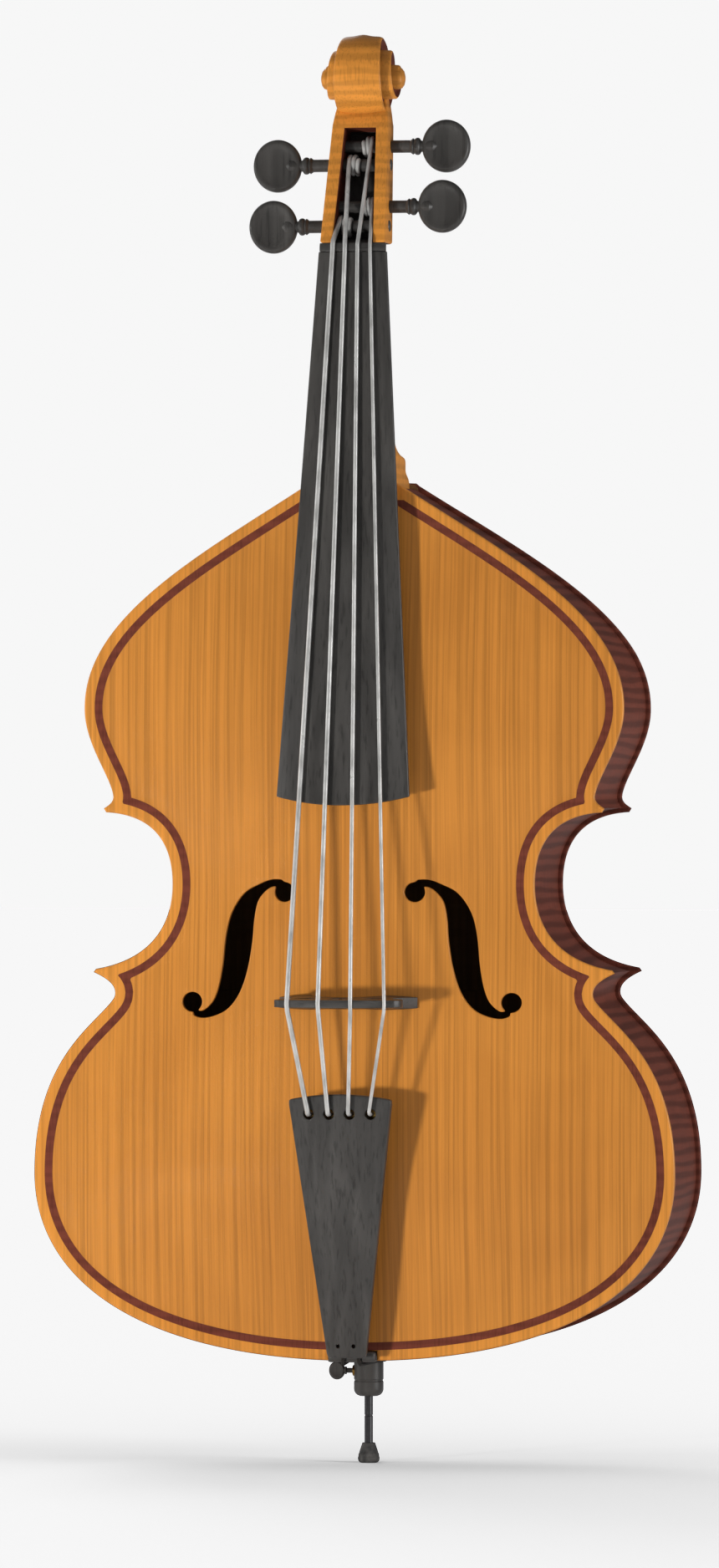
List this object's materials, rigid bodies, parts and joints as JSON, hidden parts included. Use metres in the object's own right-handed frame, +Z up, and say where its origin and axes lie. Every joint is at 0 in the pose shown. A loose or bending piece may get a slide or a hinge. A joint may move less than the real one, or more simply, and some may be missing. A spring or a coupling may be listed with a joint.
{
  "type": "double bass",
  "caption": "Orchestral double bass with sloping shoulders, carved top, flat back, friction pegs and a sliding endpin.",
  "frame": {"origin": "under the middle of the endpin's rubber tip, where it rests on the floor", "axes": "+Z up the neck, -Y out of the top towards the audience, +X to the treble side"},
  "size_m": [0.824, 0.355, 1.818],
  "materials": {
    "top_varnish": "satin varnish",
    "rib_varnish": "satin varnish",
    "head_varnish": "satin varnish",
    "raw_wood": "bare",
    "ebony": "satin polish",
    "string_metal": "wound",
    "rod_metal": "brushed",
    "gut_cord": "matte",
    "rubber": "matte"
  },
  "bodies": {
    "root": {"top_plate_bass": "top_varnish", "upper_rib_bass": "rib_varnish", "upper_top_lining_bass": "raw_wood", "upper_back_lining_bass": "raw_wood", "waist_rib_bass": "rib_varnish", "waist_top_lining_bass": "raw_wood", "waist_back_lining_bass": "raw_wood", "lower_rib_bass": "rib_varnish", "lower_top_lining_bass": "raw_wood", "lower_back_lining_bass": "raw_wood", "upper_corner_block_bass": "raw_wood", "lower_corner_block_bass": "raw_wood", "top_plate_treble": "top_varnish", "upper_rib_treble": "rib_varnish", "upper_top_lining_treble": "raw_wood", "upper_back_lining_treble": "raw_wood", "waist_rib_treble": "rib_varnish", "waist_top_lining_treble": "raw_wood", "waist_back_lining_treble": "raw_wood", "lower_rib_treble": "rib_varnish", "lower_top_lining_treble": "raw_wood", "lower_back_lining_treble": "raw_wood", "upper_corner_block_treble": "raw_wood", "lower_corner_block_treble": "raw_wood", "back_plate": "rib_varnish", "neck_block": "raw_wood", "end_block": "raw_wood", "bass_bar": "raw_wood", "sound_post": "raw_wood", "back_brace_lower": "raw_wood", "back_brace_post": "raw_wood", "back_brace_upper": "raw_wood", "back_brace_break": "raw_wood", "neck": "head_varnish", "head": "head_varnish", "fingerboard": "ebony", "nut": "ebony", "bridge": "ebony", "tailpiece": "ebony", "saddle": "ebony", "endpin_socket": "ebony", "tailgut": "gut_cord", "string_e": "string_metal", "string_a": "string_metal", "string_d": "string_metal", "string_g": "string_metal"},
    "tuning_e": {"peg_e": "ebony", "winding_e": "string_metal"},
    "tuning_a": {"peg_a": "ebony", "winding_a": "string_metal"},
    "tuning_d": {"peg_d": "ebony", "winding_d": "string_metal"},
    "tuning_g": {"peg_g": "ebony", "winding_g": "string_metal"},
    "endpin": {"endpin_rod": "rod_metal", "endpin_tip": "rubber"},
    "screw": {"thumbscrew": "ebony"}
  },
  "joints": [
    {"name": "peg_e_turn", "type": "hinge", "parent": "root", "child": "tuning_e", "pos_m": [0, -0.07999, 1.572], "axis": [1, 0, 0], "continuous": true},
    {"name": "peg_a_turn", "type": "hinge", "parent": "root", "child": "tuning_a", "pos_m": [0, -0.05124, 1.651], "axis": [1, 0, 0], "continuous": true},
    {"name": "peg_d_turn", "type": "hinge", "parent": "root", "child": "tuning_d", "pos_m": [0, -0.0425, 1.675], "axis": [1, 0, 0], "continuous": true},
    {"name": "peg_g_turn", "type": "hinge", "parent": "root", "child": "tuning_g", "pos_m": [0, -0.07089, 1.597], "axis": [1, 0, 0], "continuous": true},
    {"name": "endpin_slide", "type": "slide", "parent": "root", "child": "endpin", "axis": [0, 0, 1], "range_m": [-0.25, 0.055]},
    {"name": "screw_turn", "type": "hinge", "parent": "root", "child": "screw", "pos_m": [-0.031, 0, 0.117], "axis": [-1, 0, 0], "continuous": true}
  ]
}
